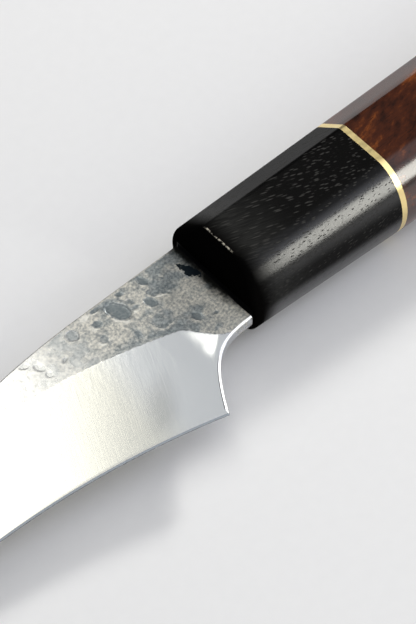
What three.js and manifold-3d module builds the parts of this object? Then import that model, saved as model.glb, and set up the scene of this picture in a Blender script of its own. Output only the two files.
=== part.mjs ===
// A tourne knife: a small bird's-beak blade with a hidden tang, glued into a wooden handle that is
// built up from a ferrule, a brass spacer, a body and an inner dowel.
//
// Lengths are millimetres, +Z is up, and the knife lies on the lower side flat of its handle.
// X runs from the tip to the butt and is 0 at the front rim of the ferrule's side flats.
// Y runs from the edge to the spine and is 0 on the axis of the tang.
// Every piece is first made about the knife's middle plane, and is then raised by half the
// thickness that the tapered handle has at that X, so that the lower side flat lies at Z = 0.

import * as THREE from "three";
import { mergeVertices } from "three/addons/utils/BufferGeometryUtils.js";
import Module from "manifold-3d";

const wasm = await Module();
wasm.setup();

// Handle, along its length.
const FERRULE_LENGTH = 22;
const SPACER_THICKNESS = 0.8;
const BODY_LENGTH = 92.2;

// Handle section at the front rim: levels above and below the axis, and sizes across. The spine
// level is that of its corners, and the crown is how much higher the middle of the spine is.
const FRONT = {
  spineLevel: 7.5,
  spineCrown: 0.9,
  flatEndLevel: -2.2,
  bellyLevel: -7.15,
  thickness: 13,
  chamferHeight: 3.6,
  chamferDepth: 3.2,
};

// Handle section at the butt.
const BUTT = {
  spineLevel: 6.45,
  spineCrown: 1.2,
  flatEndLevel: -6.45,
  bellyLevel: -13,
  thickness: 17.25,
  chamferHeight: 4.75,
  chamferDepth: 4.25,
};
const BUTT_EASING = 1.6;

// Ferrule nose: how far it is crowned ahead of the rim, the flat land where the blade seats,
// and how much its edge is rounded at the spine, the side flats and the belly.
const NOSE_CROWN = 1.45;
const NOSE_LAND_MARGIN = 0.3;
const NOSE_SPINE_ROUND = 0.7;
const NOSE_SIDE_ROUND = 0.2;
const NOSE_BELLY_ROUND = 0.7;
const FERRULE_FRONT_WALL = 3.5;

// Blade outline. Distances ahead are measured from the rim towards the tip.
const BLADE_THICKNESS = 1.85;
const TIP_THICKNESS = 1.1;
const EDGE_THICKNESS = 0.24;
const SPINE_LEVEL = 6.95;
const SPINE_STRAIGHT_TO = 18.5;
const TIP_AHEAD = 80;
const TIP_LEVEL = -15.3;
const HEEL_AHEAD = 12.55;
const HEEL_LEVEL = -15;
const EDGE_RADIUS = 114;
const CHOIL_LEVEL = -7.05;
const CHOIL_CURVE_FROM = 2.5;
const CHOIL_HEEL_ANGLE = 62;
const CHOIL_TIGHTNESS = 0.83;

// Grind: where the bevel starts at the choil and where it has opened fully, the depth of the dark
// flat below the spine at the heel, the depth that it settles to, how soon, and how long it takes
// to run out at the tip.
const PLUNGE_FROM = 4;
const PLUNGE_TO = 9.7;
const FLAT_DEPTH_AT_HEEL = 8.65;
const FLAT_DEPTH_AHEAD = 2.2;
const FLAT_NARROWING_LENGTH = 41;
const FLAT_RUNOUT_LENGTH = 25;

// Tang and what beds it.
const TANG_THICKNESS = 1.6;
const TANG_HEIGHT = 7;
const TANG_END_HEIGHT = 4.5;
const TANG_LENGTH = 54;
const TANG_MOUTH_CLEARANCE = 0.4;
const BED_WALL = 0.55;
const BED_END = 1;
const BOND_GAP = 0.1;
const DOWEL_SKIN = 0.35;
const DOWEL_SOLID_END = 7;
const DOWEL_CLEARANCE = 0.15;
const DOWEL_END_CLEARANCE = 0.3;

// Epoxy seal between the blade's shoulder and the nose.
const SEAL_THICKNESS = 0.35;
const SEAL_BEAD = 0.55;
const SEAL_INSET = 0.15;

// How finely curves are divided.
const FLAT_STEPS = 4;
const SPINE_STEPS = 10;
const BELLY_STEPS = 24;
const ROUND_STEPS = 32;
const NOSE_RINGS = [0.3, 0.55, 0.74, 0.84, 0.9, 0.94, 0.97, 0.99, 1];
const BUTT_RINGS = 5;
const NECK_STEPS = 22;
const EDGE_STEPS = 44;
const BEVEL_STEPS = 4;

// Places that follow from the sizes above.
const HANDLE_LENGTH = FERRULE_LENGTH + SPACER_THICKNESS + BODY_LENGTH;
const SPACER_BACK = FERRULE_LENGTH + SPACER_THICKNESS;
const NOSE_FRONT = -NOSE_CROWN;
const SHOULDER = NOSE_FRONT - SEAL_THICKNESS;
const TANG_END = SHOULDER + TANG_LENGTH;
const SEAL_HALF_WIDTH = BLADE_THICKNESS / 2 + SEAL_BEAD;
const NOSE_LAND = SEAL_HALF_WIDTH + NOSE_LAND_MARGIN;
const BED_HEIGHT = TANG_HEIGHT + 2 * (BOND_GAP + BED_WALL);
const BED_WIDTH = TANG_THICKNESS + 2 * (BOND_GAP + BED_WALL);
const BED_BACK = TANG_END + BOND_GAP + BED_END;
const SLOT_WIDTH = BED_WIDTH + 2 * BOND_GAP;
const SLOT_BACK = BED_BACK + BOND_GAP;
const DOWEL_FRONT = FERRULE_FRONT_WALL + DOWEL_END_CLEARANCE;
const DOWEL_BACK = SLOT_BACK + DOWEL_SOLID_END;
const DOWEL_RADIUS = Math.hypot(BED_HEIGHT, SLOT_WIDTH) / 2 + DOWEL_SKIN;
const BORE_RADIUS = DOWEL_RADIUS + DOWEL_CLEARANCE;
const BORE_BACK = DOWEL_BACK + DOWEL_END_CLEARANCE;

// How far a cutting tool runs past the face that it opens.
const CUT_RUNOUT = 5;

const mix = THREE.MathUtils.lerp;

// One size of the handle section at a place along the handle: it grows in a straight line.
function handleSize(name, x) {
  return mix(FRONT[name], BUTT[name], x / HANDLE_LENGTH);
}

// Height of the middle plane above the surface that the knife lies on.
function middleHeight(x) {
  return handleSize("thickness", x) / 2;
}

// Outline of the handle section as functions of x, in order round it: the crowned spine, a chamfer,
// a side flat, the half-elliptic belly, the other side flat and the other chamfer.
// Each entry has the point's y and z, and the rounding of the nose's edge there.
function outlineEntries() {
  const corner = (y, z) => (x) => new THREE.Vector2(y(x), z(x));
  const size = (name) => (x) => handleSize(name, x);
  const spine = size("spineLevel");
  const half = (x) => handleSize("thickness", x) / 2;
  const flatTop = (x) => spine(x) - handleSize("chamferHeight", x);
  const flatEnd = size("flatEndLevel");
  const spineHalf = (x) => half(x) - handleSize("chamferDepth", x);
  const minus = (f) => (x) => -f(x);
  const spineRight = corner(spine, spineHalf);
  const spineLeft = corner(spine, minus(spineHalf));
  const sideRight = corner(flatTop, half);
  const sideLeft = corner(flatTop, minus(half));
  const endRight = corner(flatEnd, half);
  const endLeft = corner(flatEnd, minus(half));
  const entries = [];
  const straight = (from, to, round) => {
    for (let i = 0; i < FLAT_STEPS; i += 1) {
      const share = i / FLAT_STEPS;
      entries.push({ at: (x) => from(x).lerp(to(x), share), round });
    }
  };
  for (let i = 0; i < SPINE_STEPS; i += 1) {
    const across = (2 * i) / SPINE_STEPS - 1;
    const at = (x) => new THREE.Vector2(
      spine(x) + handleSize("spineCrown", x) * (1 - across * across),
      spineHalf(x) * across,
    );
    entries.push({ at, round: NOSE_SPINE_ROUND });
  }
  straight(spineRight, sideRight, NOSE_SPINE_ROUND);
  straight(sideRight, endRight, NOSE_SIDE_ROUND);
  for (let i = 0; i < BELLY_STEPS; i += 1) {
    const angle = (Math.PI * i) / BELLY_STEPS;
    const drop = (x) => handleSize("bellyLevel", x) - flatEnd(x);
    const at = (x) => new THREE.Vector2(
      flatEnd(x) + drop(x) * Math.sin(angle),
      half(x) * Math.cos(angle),
    );
    entries.push({ at, round: i === 0 ? NOSE_SIDE_ROUND : NOSE_BELLY_ROUND });
  }
  straight(endLeft, sideLeft, NOSE_SIDE_ROUND);
  straight(sideLeft, spineLeft, NOSE_SPINE_ROUND);
  return entries;
}

const OUTLINE = outlineEntries();

function geometryFrom(positions, indices) {
  const geometry = new THREE.BufferGeometry();
  geometry.setAttribute("position", new THREE.Float32BufferAttribute(positions.flat(), 3));
  geometry.setIndex(indices);
  return geometry;
}

function ringMiddle(ring) {
  const sum = ring.reduce((total, p) => total.map((v, i) => v + p[i]), [0, 0, 0]);
  return sum.map((v) => v / ring.length);
}

// A closed solid through rings of equally many points, capped by a fan at each end.
// The rings run round +X by the right-hand rule, and the first ring has the lowest X.
function loft(rings, frontPoint = ringMiddle(rings[0])) {
  const count = rings[0].length;
  const positions = rings.flat();
  const indices = [];
  rings.slice(1).forEach((ring, r) => {
    for (let i = 0; i < count; i += 1) {
      const next = (i + 1) % count;
      const a = r * count + i;
      const b = r * count + next;
      indices.push(a, b, a + count, b, b + count, a + count);
    }
  });
  const front = positions.length;
  positions.push(frontPoint, ringMiddle(rings.at(-1)));
  const last = (rings.length - 1) * count;
  for (let i = 0; i < count; i += 1) {
    const next = (i + 1) % count;
    indices.push(front, next, i);
    indices.push(front + 1, last + i, last + next);
  }
  return geometryFrom(positions, indices);
}

function sectionRing(x) {
  return OUTLINE.map((entry) => {
    const p = entry.at(x);
    return [x, p.x, p.y];
  });
}

function solid(geometry) {
  const bare = geometry.clone();
  bare.deleteAttribute("normal");
  bare.deleteAttribute("uv");
  const merged = mergeVertices(bare, 1e-4);
  const vertProperties = new Float32Array(merged.attributes.position.array);
  const triVerts = new Uint32Array(merged.index.array);
  return new wasm.Manifold(new wasm.Mesh({ numProp: 3, vertProperties, triVerts }));
}

function geometryOf(manifold) {
  const mesh = manifold.getMesh();
  const geometry = new THREE.BufferGeometry();
  geometry.setAttribute("position", new THREE.BufferAttribute(mesh.vertProperties, 3));
  geometry.setIndex(new THREE.BufferAttribute(mesh.triVerts, 1));
  return geometry;
}

function cut(geometry, ...tools) {
  return geometryOf(tools.reduce((body, tool) => body.subtract(solid(tool)), solid(geometry)));
}

// A box between two places along X, with its height along Y and its width along Z.
function bar(from, to, height, width) {
  const box = new THREE.BoxGeometry(to - from, height, width);
  return box.translate((from + to) / 2, 0, 0);
}

// A round rod on the axis of the tang.
function rod(from, to, radius) {
  const cylinder = new THREE.CylinderGeometry(radius, radius, to - from, ROUND_STEPS);
  return cylinder.rotateZ(Math.PI / 2).translate((from + to) / 2, 0, 0);
}

// X of the nose at a point of the front section: a flat land, then a crown that falls to the rim.
function noseCrown(z) {
  const half = FRONT.thickness / 2;
  const beyond = Math.max(0, Math.abs(z) - NOSE_LAND) / (half - NOSE_LAND);
  return NOSE_FRONT + NOSE_CROWN * beyond * beyond;
}

function makeFerrule() {
  const rings = NOSE_RINGS.map((reach) => OUTLINE.map((entry) => {
    const rim = entry.at(0);
    const depth = (1 - reach) * rim.length();
    const inside = Math.max(0, entry.round - depth);
    const rounding = entry.round - Math.sqrt(entry.round ** 2 - inside ** 2);
    const x = noseCrown(rim.y * reach) + rounding;
    const p = entry.at(x).multiplyScalar(reach);
    return [x, p.x, p.y];
  }));
  rings.push(sectionRing(FERRULE_LENGTH));
  const mouthHeight = TANG_HEIGHT + 2 * TANG_MOUTH_CLEARANCE;
  const mouthWidth = TANG_THICKNESS + 2 * TANG_MOUTH_CLEARANCE;
  const mouth = bar(SHOULDER - CUT_RUNOUT, FERRULE_FRONT_WALL + CUT_RUNOUT, mouthHeight, mouthWidth);
  const bore = rod(FERRULE_FRONT_WALL, FERRULE_LENGTH + CUT_RUNOUT, BORE_RADIUS);
  return cut(loft(rings), mouth, bore);
}

function makeSpacer() {
  const plate = loft([sectionRing(FERRULE_LENGTH), sectionRing(SPACER_BACK)]);
  return cut(plate, rod(FERRULE_LENGTH - CUT_RUNOUT, SPACER_BACK + CUT_RUNOUT, BORE_RADIUS));
}

function makeBody() {
  const rings = [sectionRing(SPACER_BACK)];
  for (let i = 0; i <= BUTT_RINGS; i += 1) {
    const angle = (Math.PI / 2) * (i / BUTT_RINGS);
    const x = HANDLE_LENGTH - BUTT_EASING * (1 - Math.sin(angle));
    const inset = BUTT_EASING * (1 - Math.cos(angle));
    const centre = new THREE.Vector2((handleSize("spineLevel", x) + handleSize("bellyLevel", x)) / 2, 0);
    rings.push(OUTLINE.map((entry) => {
      const p = entry.at(x).sub(centre);
      p.setLength(p.length() - inset).add(centre);
      return [x, p.x, p.y];
    }));
  }
  return cut(loft(rings), rod(SPACER_BACK - CUT_RUNOUT, BORE_BACK, BORE_RADIUS));
}

function makeDowel() {
  const slot = bar(DOWEL_FRONT - CUT_RUNOUT, SLOT_BACK, 2 * DOWEL_RADIUS + CUT_RUNOUT, SLOT_WIDTH);
  return cut(rod(DOWEL_FRONT, DOWEL_BACK, DOWEL_RADIUS), slot);
}

// The tang, or the room that it needs in its bed: a flat bar that narrows towards its end.
function tangBar(from, gap) {
  const back = TANG_END + gap;
  const heightAt = (x) => mix(TANG_HEIGHT, TANG_END_HEIGHT, (x - SHOULDER) / TANG_LENGTH) / 2 + gap;
  const half = TANG_THICKNESS / 2 + gap;
  const ring = (x) => {
    const height = heightAt(x);
    return [[x, height, -half], [x, height, half], [x, -height, half], [x, -height, -half]];
  };
  return loft([ring(from), ring(back)]);
}

function makeBed() {
  const block = bar(DOWEL_FRONT, BED_BACK, BED_HEIGHT, BED_WIDTH);
  return cut(block, tangBar(SHOULDER, BOND_GAP));
}

// A plate of epoxy round the tang, squeezed between the blade's shoulder and the nose, that
// stands out as a bead on both sides of the blade.
function makeSeal() {
  const top = Math.min(SPINE_LEVEL, FRONT.spineLevel - NOSE_SPINE_ROUND) - SEAL_INSET;
  const bottom = Math.max(CHOIL_LEVEL, FRONT.bellyLevel + NOSE_BELLY_ROUND) + SEAL_INSET;
  const plate = bar(SHOULDER, NOSE_FRONT, top - bottom, 2 * SEAL_HALF_WIDTH);
  plate.translate(0, (top + bottom) / 2, 0);
  const mouthHeight = TANG_HEIGHT + 2 * BOND_GAP;
  const mouthWidth = TANG_THICKNESS + 2 * BOND_GAP;
  return cut(plate, bar(SHOULDER - CUT_RUNOUT, NOSE_FRONT + CUT_RUNOUT, mouthHeight, mouthWidth));
}

// Spine: straight, then an arc that leaves it without a kink and ends at the tip.
function spineAt(ahead) {
  const run = TIP_AHEAD - SPINE_STRAIGHT_TO;
  const fall = SPINE_LEVEL - TIP_LEVEL;
  const radius = (run * run + fall * fall) / (2 * fall);
  const along = Math.max(0, ahead - SPINE_STRAIGHT_TO);
  return SPINE_LEVEL - radius + Math.sqrt(radius * radius - along * along);
}

// Edge: a hollow arc through the heel and the tip.
function edgeAt(ahead) {
  const chord = Math.hypot(TIP_AHEAD - HEEL_AHEAD, TIP_LEVEL - HEEL_LEVEL);
  const rise = Math.sqrt(EDGE_RADIUS ** 2 - (chord / 2) ** 2);
  const lean = (TIP_LEVEL - HEEL_LEVEL) / chord;
  const level = (TIP_AHEAD - HEEL_AHEAD) / chord;
  const centreAhead = (HEEL_AHEAD + TIP_AHEAD) / 2 + rise * lean;
  const centreLevel = (HEEL_LEVEL + TIP_LEVEL) / 2 - rise * level;
  return centreLevel + Math.sqrt(EDGE_RADIUS ** 2 - (ahead - centreAhead) ** 2);
}

// Choil: it leaves the shoulder level and sweeps down to the heel.
function choilCurve() {
  const start = new THREE.Vector2(CHOIL_CURVE_FROM, CHOIL_LEVEL);
  const heel = new THREE.Vector2(HEEL_AHEAD, HEEL_LEVEL);
  const slope = Math.tan(THREE.MathUtils.degToRad(CHOIL_HEEL_ANGLE));
  const corner = new THREE.Vector2(HEEL_AHEAD - (CHOIL_LEVEL - HEEL_LEVEL) / slope, CHOIL_LEVEL);
  return new THREE.CubicBezierCurve(
    start,
    start.clone().lerp(corner, CHOIL_TIGHTNESS),
    heel.clone().lerp(corner, CHOIL_TIGHTNESS),
    heel,
  );
}

// Depth of the dark flat below the spine: it narrows along a parabola to an even strip, which
// runs out at the tip.
function flatDepth(ahead) {
  const left = Math.max(0, 1 - (ahead - HEEL_AHEAD) / FLAT_NARROWING_LENGTH);
  const depth = mix(FLAT_DEPTH_AHEAD, FLAT_DEPTH_AT_HEEL, left * left);
  return depth * Math.min(1, (TIP_AHEAD - ahead) / FLAT_RUNOUT_LENGTH);
}

// One slice across the blade: its top, the line where the bevel starts, and its lower boundary,
// with half the thickness at the top and at the lower boundary. At the plunge the bevel has not
// opened fully, so the choil is still thick there.
function bladeSlice(ahead, lower) {
  const top = spineAt(ahead);
  const forward = Math.max(0, (ahead - HEEL_AHEAD) / (TIP_AHEAD - HEEL_AHEAD));
  const half = mix(BLADE_THICKNESS, TIP_THICKNESS, forward) / 2;
  const depth = Math.min(flatDepth(ahead), top - lower);
  const grind = mix(lower, top - depth, THREE.MathUtils.smoothstep(ahead, PLUNGE_FROM, PLUNGE_TO));
  const heelBevel = SPINE_LEVEL - FLAT_DEPTH_AT_HEEL - HEEL_LEVEL;
  const ground = ahead < HEEL_AHEAD ? Math.min(1, (grind - lower) / heelBevel) : 1;
  const lowerHalf = mix(half, EDGE_THICKNESS / 2, ground);
  return { x: -ahead, top, grind, lower, half, lowerHalf };
}

function bladeSlices() {
  const slices = [bladeSlice(-SHOULDER, CHOIL_LEVEL)];
  const choil = choilCurve();
  for (let i = 0; i < NECK_STEPS; i += 1) {
    const p = choil.getPoint(i / NECK_STEPS);
    slices.push(bladeSlice(p.x, p.y));
  }
  for (let i = 0; i < EDGE_STEPS; i += 1) {
    const ahead = mix(HEEL_AHEAD, TIP_AHEAD, i / EDGE_STEPS);
    slices.push(bladeSlice(ahead, edgeAt(ahead)));
  }
  return slices;
}

// Points round one slice: across the spine, down one face to the lower boundary and up the other.
function sliceRing(slice) {
  const face = [[slice.top, slice.half], [slice.grind, slice.half]];
  for (let i = 1; i <= BEVEL_STEPS; i += 1) {
    const share = i / BEVEL_STEPS;
    face.push([mix(slice.grind, slice.lower, share), mix(slice.half, slice.lowerHalf, share)]);
  }
  const right = face.map(([y, z]) => [slice.x, y, z]);
  const left = face.map(([y, z]) => [slice.x, y, -z]).reverse();
  return [...right, ...left];
}

function makeBlade() {
  const rings = bladeSlices().map(sliceRing).reverse();
  const plate = loft(rings, [-TIP_AHEAD, TIP_LEVEL, 0]);
  const rooted = tangBar(SHOULDER - CUT_RUNOUT, 0);
  return geometryOf(solid(plate).add(solid(rooted)));
}

function material(color, roughness, metalness) {
  return new THREE.MeshStandardMaterial({ color, roughness, metalness });
}

// Raise a piece from the middle plane to where it lies, and name it.
function piece(name, geometry, look) {
  const raised = mergeVertices(geometry, 1e-4);
  const position = raised.attributes.position;
  for (let i = 0; i < position.count; i += 1) {
    position.setZ(i, position.getZ(i) + middleHeight(position.getX(i)));
  }
  raised.computeVertexNormals();
  const mesh = new THREE.Mesh(raised, look);
  mesh.name = name;
  return mesh;
}

const knife = new THREE.Group();
knife.add(piece("blade", makeBlade(), material(0x9fa3a4, 0.35, 0.9)));
knife.add(piece("ferrule", makeFerrule(), material(0x15130f, 0.4, 0)));
knife.add(piece("brass_spacer", makeSpacer(), material(0xd9b563, 0.3, 1)));
knife.add(piece("handle_body", makeBody(), material(0x4a1d10, 0.3, 0)));
knife.add(piece("core_dowel", makeDowel(), material(0xc9a874, 0.7, 0)));
knife.add(piece("tang_bed", makeBed(), material(0xb98a3c, 0.4, 0)));
knife.add(piece("mouth_seal", makeSeal(), material(0x0b0b0c, 0.45, 0)));

// The origin is under the middle of the knife, on the surface that it lies on.
const box = new THREE.Box3().setFromObject(knife);
const middle = box.getCenter(new THREE.Vector3());
knife.position.set(-middle.x, -middle.y, -box.min.z);
knife.updateMatrixWorld(true);

export default knife;
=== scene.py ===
# %% [markdown]
# A tourne knife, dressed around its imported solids.
#
# The solids already stand at their real size and place. Each visible piece gets a finer surface
# here, worked out with numpy from the same few sizes, and a finish made of shader nodes. The two
# pieces that are sealed inside the handle keep their solids and only get a finish.

import bpy
import numpy as np
from mathutils import Euler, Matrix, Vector


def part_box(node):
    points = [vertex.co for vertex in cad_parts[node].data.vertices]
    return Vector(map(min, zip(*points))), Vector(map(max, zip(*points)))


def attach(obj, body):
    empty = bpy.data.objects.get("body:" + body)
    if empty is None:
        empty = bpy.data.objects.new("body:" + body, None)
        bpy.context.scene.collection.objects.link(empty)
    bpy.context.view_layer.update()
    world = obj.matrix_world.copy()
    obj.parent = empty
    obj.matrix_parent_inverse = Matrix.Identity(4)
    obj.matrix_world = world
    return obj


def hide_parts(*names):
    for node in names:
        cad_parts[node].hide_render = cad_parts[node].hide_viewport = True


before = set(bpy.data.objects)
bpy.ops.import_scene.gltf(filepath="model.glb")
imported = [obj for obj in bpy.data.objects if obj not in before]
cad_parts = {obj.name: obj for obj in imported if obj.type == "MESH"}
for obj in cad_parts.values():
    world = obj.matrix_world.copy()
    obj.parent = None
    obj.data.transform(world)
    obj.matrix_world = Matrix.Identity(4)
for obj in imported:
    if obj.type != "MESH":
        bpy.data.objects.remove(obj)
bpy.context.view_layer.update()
scene = bpy.context.scene
MM = 0.001
print("solids:", sorted(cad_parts))

# %% [markdown]
# Sizes are written in millimetres in the knife's own directions: x runs from the tip to the butt
# and is 0 at the front rim of the ferrule, y runs from the edge to the spine and is 0 on the tang's
# axis, and z is measured from the middle plane of the blade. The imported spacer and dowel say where
# that rim and that axis lie in the frame, so nothing is placed by eye.

# %% Knife directions
FERRULE_LENGTH = 22.0
spacer_low, spacer_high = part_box("brass_spacer")
dowel_low, dowel_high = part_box("core_dowel")
body_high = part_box("handle_body")[1]
RIM_X = spacer_low.x / MM - FERRULE_LENGTH
AXIS_Y = (dowel_low.y + dowel_high.y) / 2 / MM
SPACER_BACK = spacer_high.x / MM - RIM_X
HANDLE_LENGTH = body_high.x / MM - RIM_X

FRONT = dict(
    spine=7.5, crown=0.9, flat_end=-2.2, belly=-7.15,
    thickness=13.0, chamfer_height=3.6, chamfer_depth=3.2,
)
BUTT = dict(
    spine=6.45, crown=1.2, flat_end=-6.45, belly=-13.0,
    thickness=17.25, chamfer_height=4.75, chamfer_depth=4.25,
)


def mix(first, second, share):
    """Straight blend: first at share 0 and second at share 1."""
    return first + (second - first) * share


def smoothstep(value, low, high):
    """0 up to low, 1 from high on, and the cubic 3t² - 2t³ between them."""
    t = np.clip((value - low) / (high - low), 0, 1)
    return t * t * (3 - 2 * t)


def placed(points):
    """Points in the knife's directions, moved into the frame: rim and axis added, and the middle plane
    raised by half the handle's thickness."""
    points = np.asarray(points, float).reshape(-1, 3)
    raised = points + np.array([RIM_X, AXIS_Y, 0])
    raised[:, 2] += mix(FRONT["thickness"], BUTT["thickness"], points[:, 0] / HANDLE_LENGTH) / 2
    return raised * MM


print("rim at x", round(RIM_X, 3), "mm, axis at y", round(AXIS_Y, 3), "mm")
print("handle", round(HANDLE_LENGTH, 2), "mm long")

# %% [markdown]
# The camera looks down at the knife from beyond its edge, with the ferrule in the middle of a tall
# picture and the tip and butt outside it. A long lens at a third of a metre keeps the lines of the
# handle nearly parallel.

# %% Camera
EYE = (-121.0, -133.4, 264.5)
CAMERA_AZIMUTH = np.radians(-41.573)
CAMERA_ELEVATION = np.radians(55.858)
LENS = 149.42

camera_data = bpy.data.cameras.new("camera")
camera_data.sensor_width = 36.0
camera_data.lens = LENS
camera_data.clip_start = 0.01
camera = bpy.data.objects.new("camera", camera_data)
camera.location = (Vector(EYE) + Vector((RIM_X, AXIS_Y, 0))) * MM
camera.rotation_euler = (np.pi / 2 - CAMERA_ELEVATION, 0, CAMERA_AZIMUTH)
scene.collection.objects.link(camera)
scene.camera = camera
scene.view_settings.view_transform = "Standard"
print("camera at", [round(c, 3) for c in camera.location])

# %% [markdown]
# A material is a small tree of shader nodes. These helpers add a node and fill its inputs, do
# arithmetic, and blend numbers or colours, in the tree of the outputs that they are given. Patterns
# are read in a space whose unit is a size in millimetres, so a number in a tree is a real length.

# %% Node helpers
NOISE_RANGE = 0.3, 0.7


def new_material(name):
    """An empty procedural material, its node tree and its main shader."""
    material = bpy.data.materials.new(name)
    material.use_nodes = True
    tree = material.node_tree
    return material, tree, tree.nodes["Principled BSDF"]


def fill(node, inputs):
    """Set each named input of a node, or link it where the value is another node's output."""
    for name, value in inputs.items():
        if isinstance(value, bpy.types.NodeSocket):
            node.id_data.links.new(value, node.inputs[name])
        else:
            node.inputs[name].default_value = value


def add(tree, kind, inputs=None, **options):
    """Add a shader node, set its options and fill its inputs."""
    node = tree.nodes.new("ShaderNode" + kind)
    for name, value in options.items():
        setattr(node, name, value)
    fill(node, inputs or {})
    return node


def maths(operation, first, second=0.0):
    """One arithmetic step between two numbers or outputs, of which at least one is an output."""
    output = first if isinstance(first, bpy.types.NodeSocket) else second
    return add(output.id_data, "Math", {0: first, 1: second}, operation=operation).outputs[0]


def plus(first, second):
    """The sum of two numbers or outputs."""
    return maths("ADD", first, second)


def minus(first, second):
    """The first number or output less the second."""
    return maths("SUBTRACT", first, second)


def times(*factors):
    """The product of two or more numbers or outputs."""
    product = factors[0]
    for factor in factors[1:]:
        product = maths("MULTIPLY", product, factor)
    return product


def between(share, first, second):
    """A number that goes from first to second as share goes from 0 to 1."""
    return add(share.id_data, "Mix", {0: share, 2: first, 3: second}).outputs[0]


def blend(share, first, second):
    """A colour that goes from first to second as share goes from 0 to 1."""
    colours = [(*c, 1) if isinstance(c, tuple) else c for c in (first, second)]
    inputs = {0: share, 6: colours[0], 7: colours[1]}
    return add(share.id_data, "Mix", inputs, data_type="RGBA").outputs[2]


def ramp(value, low, high, start=0.0, end=1.0):
    """Smooth step of a value: start below low and end above high."""
    limits = {"Value": value, "From Min": low, "From Max": high, "To Min": start, "To Max": end}
    return add(value.id_data, "MapRange", limits, interpolation_type="SMOOTHSTEP").outputs["Result"]


def fade(value, low, high):
    """Smooth step of a value from 1 below low to 0 above high."""
    return ramp(value, low, high, 1.0, 0.0)


def pattern_space(tree, unit, turn=(0, 0, 0)):
    """Object coordinates from rim and axis along turned axes, in units of one size or three in mm."""
    place = add(tree, "TexCoord").outputs["Object"]
    sizes = tuple(np.broadcast_to(unit, 3) * MM)
    turned = {"Vector": place, "Rotation": turn, "Scale": sizes, "Location": (RIM_X * MM, AXIS_Y * MM, 0)}
    return add(tree, "Mapping", turned, vector_type="TEXTURE").outputs[0]


def place_of(tree, turn=(0, 0, 0)):
    """The X, Y and Z outputs of a pattern space in millimetres. Z is the height above the table."""
    return add(tree, "SeparateXYZ", {0: pattern_space(tree, 1, turn)}).outputs


def noise(tree, unit, turn=(0, 0, 0), detail=3.0, roughness=0.5, distortion=0.0):
    """Cloudy noise from 0 to 1, one blotch per unit of a pattern space."""
    space = pattern_space(tree, unit, turn)
    values = {"Vector": space, "Scale": 1.0, "Detail": detail, "Roughness": roughness}
    return add(tree, "TexNoise", {**values, "Distortion": distortion}).outputs["Fac"]


def varied(pattern, start, end):
    """A number that goes from start to end over the usual range of a noise."""
    return ramp(pattern, *NOISE_RANGE, start, end)


def bump(height, depth_mm, normal=None):
    """Tilt the shading normal as if the height, from 0 to 1, stood depth_mm high."""
    values = {"Height": height, "Distance": depth_mm * MM, "Strength": 1.0}
    if normal is not None:
        values["Normal"] = normal
    return add(height.id_data, "Bump", values).outputs["Normal"]


def plain_finish(name, unit, colours, roughnesses, depth_mm, detail=3.0):
    """A material whose colour, roughness and relief all follow one noise, and its shader."""
    material, tree, shader = new_material(name)
    pattern = noise(tree, unit, detail=detail)
    fill(shader, {
        "Base Color": blend(pattern, *colours),
        "Roughness": varied(pattern, *roughnesses),
        "Normal": bump(pattern, depth_mm),
    })
    return material, shader


print("node helpers ready")

# %% [markdown]
# The knife lies on a sheet of white paper. The floor is one large flat piece with a pale colour, so
# that the background is bright without extra light, and it keeps the soft shadow of the blade.

# %% Floor
FLOOR_HALF = 4.0
FLOOR_DROP = 0.00002

floor_mesh = bpy.data.meshes.new("floor")
corners = np.array([(-1, -1), (1, -1), (1, 1), (-1, 1)]) * FLOOR_HALF
floor_mesh.from_pydata([(x, y, -FLOOR_DROP) for x, y in corners], [], [(0, 1, 2, 3)])
floor = bpy.data.objects.new("floor", floor_mesh)
scene.collection.objects.link(floor)

paper, tree, shader = new_material("paper")
fibres = noise(tree, 1.6, detail=4.0)
fill(shader, {
    "Base Color": blend(fibres, (0.815, 0.812, 0.812), (0.845, 0.842, 0.842)),
    "Roughness": 0.9,
    "Specular IOR Level": 0.2,
})
floor_mesh.materials.append(paper)
print("floor", 2 * FLOOR_HALF, "m wide")

# %% [markdown]
# A small bright window far behind the knife throws the clear shadow towards the camera, two wide dim
# ones on the right fill it, and a narrow one beside the belly draws the long highlight along the
# rounded wood. Overhead hangs a bright strip on a dimmer ceiling: the polished bevel mirrors the
# strip on its tip side and the ceiling on its heel side. The flats of the handle mirror the dark of
# the room above the windows.

# %% Light
KNIFE_POINT = Vector((RIM_X, AXIS_Y, 6)) * MM
LAMP_DISTANCE = 1.2
CEILING_HEIGHT = 0.6


def soft_lamp(name, place, turn, width, height, radiance, colour):
    """A rectangular lamp at a place. Its power is radiance times area times pi."""
    data = bpy.data.lights.new(name, "AREA")
    data.shape = "RECTANGLE"
    data.size = width
    data.size_y = height
    data.energy = radiance * width * height * np.pi
    data.color = colour
    lamp = bpy.data.objects.new(name, data)
    lamp.location = place
    lamp.rotation_mode = "QUATERNION"
    lamp.rotation_quaternion = turn
    scene.collection.objects.link(lamp)
    return lamp


def window(name, azimuth, elevation, wide, tall, radiance, colour, lean=0):
    """A lamp facing the knife, at degrees to the right of straight away from the camera and up from
    the table. Its width and height are the degrees that the knife sees, and it leans to the left."""
    heading, e = np.radians(azimuth) - CAMERA_AZIMUTH, np.radians(elevation)
    arm = Vector((np.sin(heading) * np.cos(e), np.cos(heading) * np.cos(e), np.sin(e)))
    width, height = (2 * LAMP_DISTANCE * np.tan(np.radians(v / 2)) for v in (wide, tall))
    turn = arm.to_track_quat("Z", "Y") @ Euler((0, 0, -np.radians(lean))).to_quaternion()
    return soft_lamp(name, KNIFE_POINT + arm * LAMP_DISTANCE, turn, width, height, radiance, colour)


def ceiling_lamp(name, x, y, width, length, turn, radiance, colour):
    """A level lamp overhead, facing down, with its length along y before it is turned."""
    level = Euler((0, 0, np.radians(turn))).to_quaternion()
    return soft_lamp(name, (x, y, CEILING_HEIGHT), level, width, length, radiance, colour)


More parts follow.
